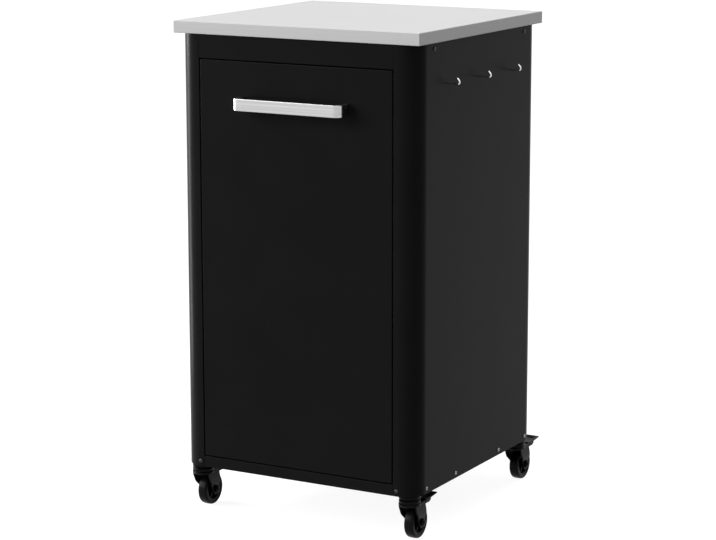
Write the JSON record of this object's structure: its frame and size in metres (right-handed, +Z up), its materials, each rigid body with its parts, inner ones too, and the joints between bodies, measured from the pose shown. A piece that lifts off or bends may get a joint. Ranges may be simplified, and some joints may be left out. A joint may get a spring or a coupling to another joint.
{
  "type": "outdoor kitchen unit",
  "caption": "Mobile sheet-steel outdoor kitchen unit with a worktop, a tall pull-out front, side hooks and braked swivel casters.",
  "frame": {"origin": "on the floor, under the middle of the unit's bounding box", "axes": "+Z up, +Y to the back, +X to the unit's right as seen from the front, on the side of the hooks"},
  "size_m": [0.516, 0.5666, 0.91],
  "materials": {
    "stainless": "fine brushed stainless steel, grain along the width",
    "core_board": "moisture-resistant fibre board",
    "black_powder": "fine-textured satin black powder coat",
    "handle_steel": "brushed stainless steel, grain along the bar",
    "hook_wire": "polished stainless wire",
    "zinc": "bright zinc-plated steel",
    "slide_steel": "zinc-plated roll-formed steel",
    "caster_steel": "gloss black lacquered pressed steel",
    "hub_plastic": "moulded black nylon",
    "tyre_rubber": "dark grey-black rubber tread"
  },
  "bodies": {
    "cabinet": {"worktop": "stainless", "worktop_core": "core_board", "worktop_screws": "zinc", "side_panel_left": "black_powder", "side_panel_right": "black_powder", "back_panel": "black_powder", "base_pan": "black_powder", "top_rail": "black_powder", "top_brace_front": "black_powder", "top_brace_rear": "black_powder", "side_screws_left": "zinc", "side_screws_right": "zinc", "front_flange_screws": "zinc", "back_screws": "zinc", "utensil_hooks": "hook_wire", "hook_nuts": "zinc", "slide_bracket_left": "zinc", "slide_bracket_right": "zinc", "slide_bracket_screws": "zinc", "slide_outer_left": "slide_steel", "slide_outer_right": "slide_steel", "caster_plates": "zinc", "caster_nuts": "zinc", "race_fl": "caster_steel", "race_fr": "caster_steel", "race_rl": "caster_steel", "race_rr": "caster_steel"},
    "slide_left": {"slide_middle_left": "slide_steel"},
    "slide_right": {"slide_middle_right": "slide_steel"},
    "pull_out": {"slide_inner_left": "slide_steel", "slide_inner_right": "slide_steel", "drawer_front": "black_powder", "drawer_liner": "black_powder", "drawer_handle": "handle_steel", "handle_screws": "zinc", "drawer_tray": "zinc", "tray_bracket_left": "zinc", "tray_bracket_right": "zinc", "tray_bracket_screws": "zinc"},
    "swivel_fl": {"fork_fl": "caster_steel", "axle_fl": "caster_steel"},
    "wheel_fl": {"hub_fl": "hub_plastic", "tyre_fl": "tyre_rubber"},
    "pedal_fl": {"brake_fl": "caster_steel"},
    "swivel_fr": {"fork_fr": "caster_steel", "axle_fr": "caster_steel"},
    "wheel_fr": {"hub_fr": "hub_plastic", "tyre_fr": "tyre_rubber"},
    "pedal_fr": {"brake_fr": "caster_steel"},
    "swivel_rl": {"fork_rl": "caster_steel", "axle_rl": "caster_steel"},
    "wheel_rl": {"hub_rl": "hub_plastic", "tyre_rl": "tyre_rubber"},
    "pedal_rl": {"brake_rl": "caster_steel"},
    "swivel_rr": {"fork_rr": "caster_steel", "axle_rr": "caster_steel"},
    "wheel_rr": {"hub_rr": "hub_plastic", "tyre_rr": "tyre_rubber"},
    "pedal_rr": {"brake_rr": "caster_steel"}
  },
  "joints": [
    {"name": "pull_out_slide", "type": "slide", "parent": "cabinet", "child": "pull_out", "axis": [0, -1, 0], "range_m": [0, 0.38]},
    {"name": "slide_left_travel", "type": "slide", "parent": "cabinet", "child": "slide_left", "axis": [0, -1, 0], "range_m": [0, 0.19]},
    {"name": "slide_right_travel", "type": "slide", "parent": "cabinet", "child": "slide_right", "axis": [0, -1, 0], "range_m": [0, 0.19]},
    {"name": "swivel_fl", "type": "hinge", "parent": "cabinet", "child": "swivel_fl", "pos_m": [-0.226, -0.22225, 0.07], "axis": [0, 0, 1], "continuous": true},
    {"name": "spin_fl", "type": "hinge", "parent": "swivel_fl", "child": "wheel_fl", "pos_m": [-0.226, -0.19925, 0.03], "axis": [1, 0, 0], "continuous": true},
    {"name": "brake_fl", "type": "hinge", "parent": "swivel_fl", "child": "pedal_fl", "pos_m": [-0.226, -0.20625, 0.0632], "axis": [-1, 0, 0], "range_deg": [0, 9]},
    {"name": "swivel_fr", "type": "hinge", "parent": "cabinet", "child": "swivel_fr", "pos_m": [0.21, -0.22225, 0.07], "axis": [0, 0, 1], "continuous": true},
    {"name": "spin_fr", "type": "hinge", "parent": "swivel_fr", "child": "wheel_fr", "pos_m": [0.21, -0.19925, 0.03], "axis": [1, 0, 0], "continuous": true},
    {"name": "brake_fr", "type": "hinge", "parent": "swivel_fr", "child": "pedal_fr", "pos_m": [0.21, -0.20625, 0.0632], "axis": [-1, 0, 0], "range_deg": [0, 9]},
    {"name": "swivel_rl", "type": "hinge", "parent": "cabinet", "child": "swivel_rl", "pos_m": [-0.226, 0.21175, 0.07], "axis": [0, 0, 1], "continuous": true},
    {"name": "spin_rl", "type": "hinge", "parent": "swivel_rl", "child": "wheel_rl", "pos_m": [-0.226, 0.23475, 0.03], "axis": [1, 0, 0], "continuous": true},
    {"name": "brake_rl", "type": "hinge", "parent": "swivel_rl", "child": "pedal_rl", "pos_m": [-0.226, 0.22775, 0.0632], "axis": [-1, 0, 0], "range_deg": [0, 9]},
    {"name": "swivel_rr", "type": "hinge", "parent": "cabinet", "child": "swivel_rr", "pos_m": [0.21, 0.21175, 0.07], "axis": [0, 0, 1], "continuous": true},
    {"name": "spin_rr", "type": "hinge", "parent": "swivel_rr", "child": "wheel_rr", "pos_m": [0.21, 0.23475, 0.03], "axis": [1, 0, 0], "continuous": true},
    {"name": "brake_rr", "type": "hinge", "parent": "swivel_rr", "child": "pedal_rr", "pos_m": [0.21, 0.22775, 0.0632], "axis": [-1, 0, 0], "range_deg": [0, 9]}
  ],
  "couplings": [
    {"joint": "slide_left_travel", "follows": "pull_out_slide", "ratio": 0.5},
    {"joint": "slide_right_travel", "follows": "pull_out_slide", "ratio": 0.5}
  ]
}
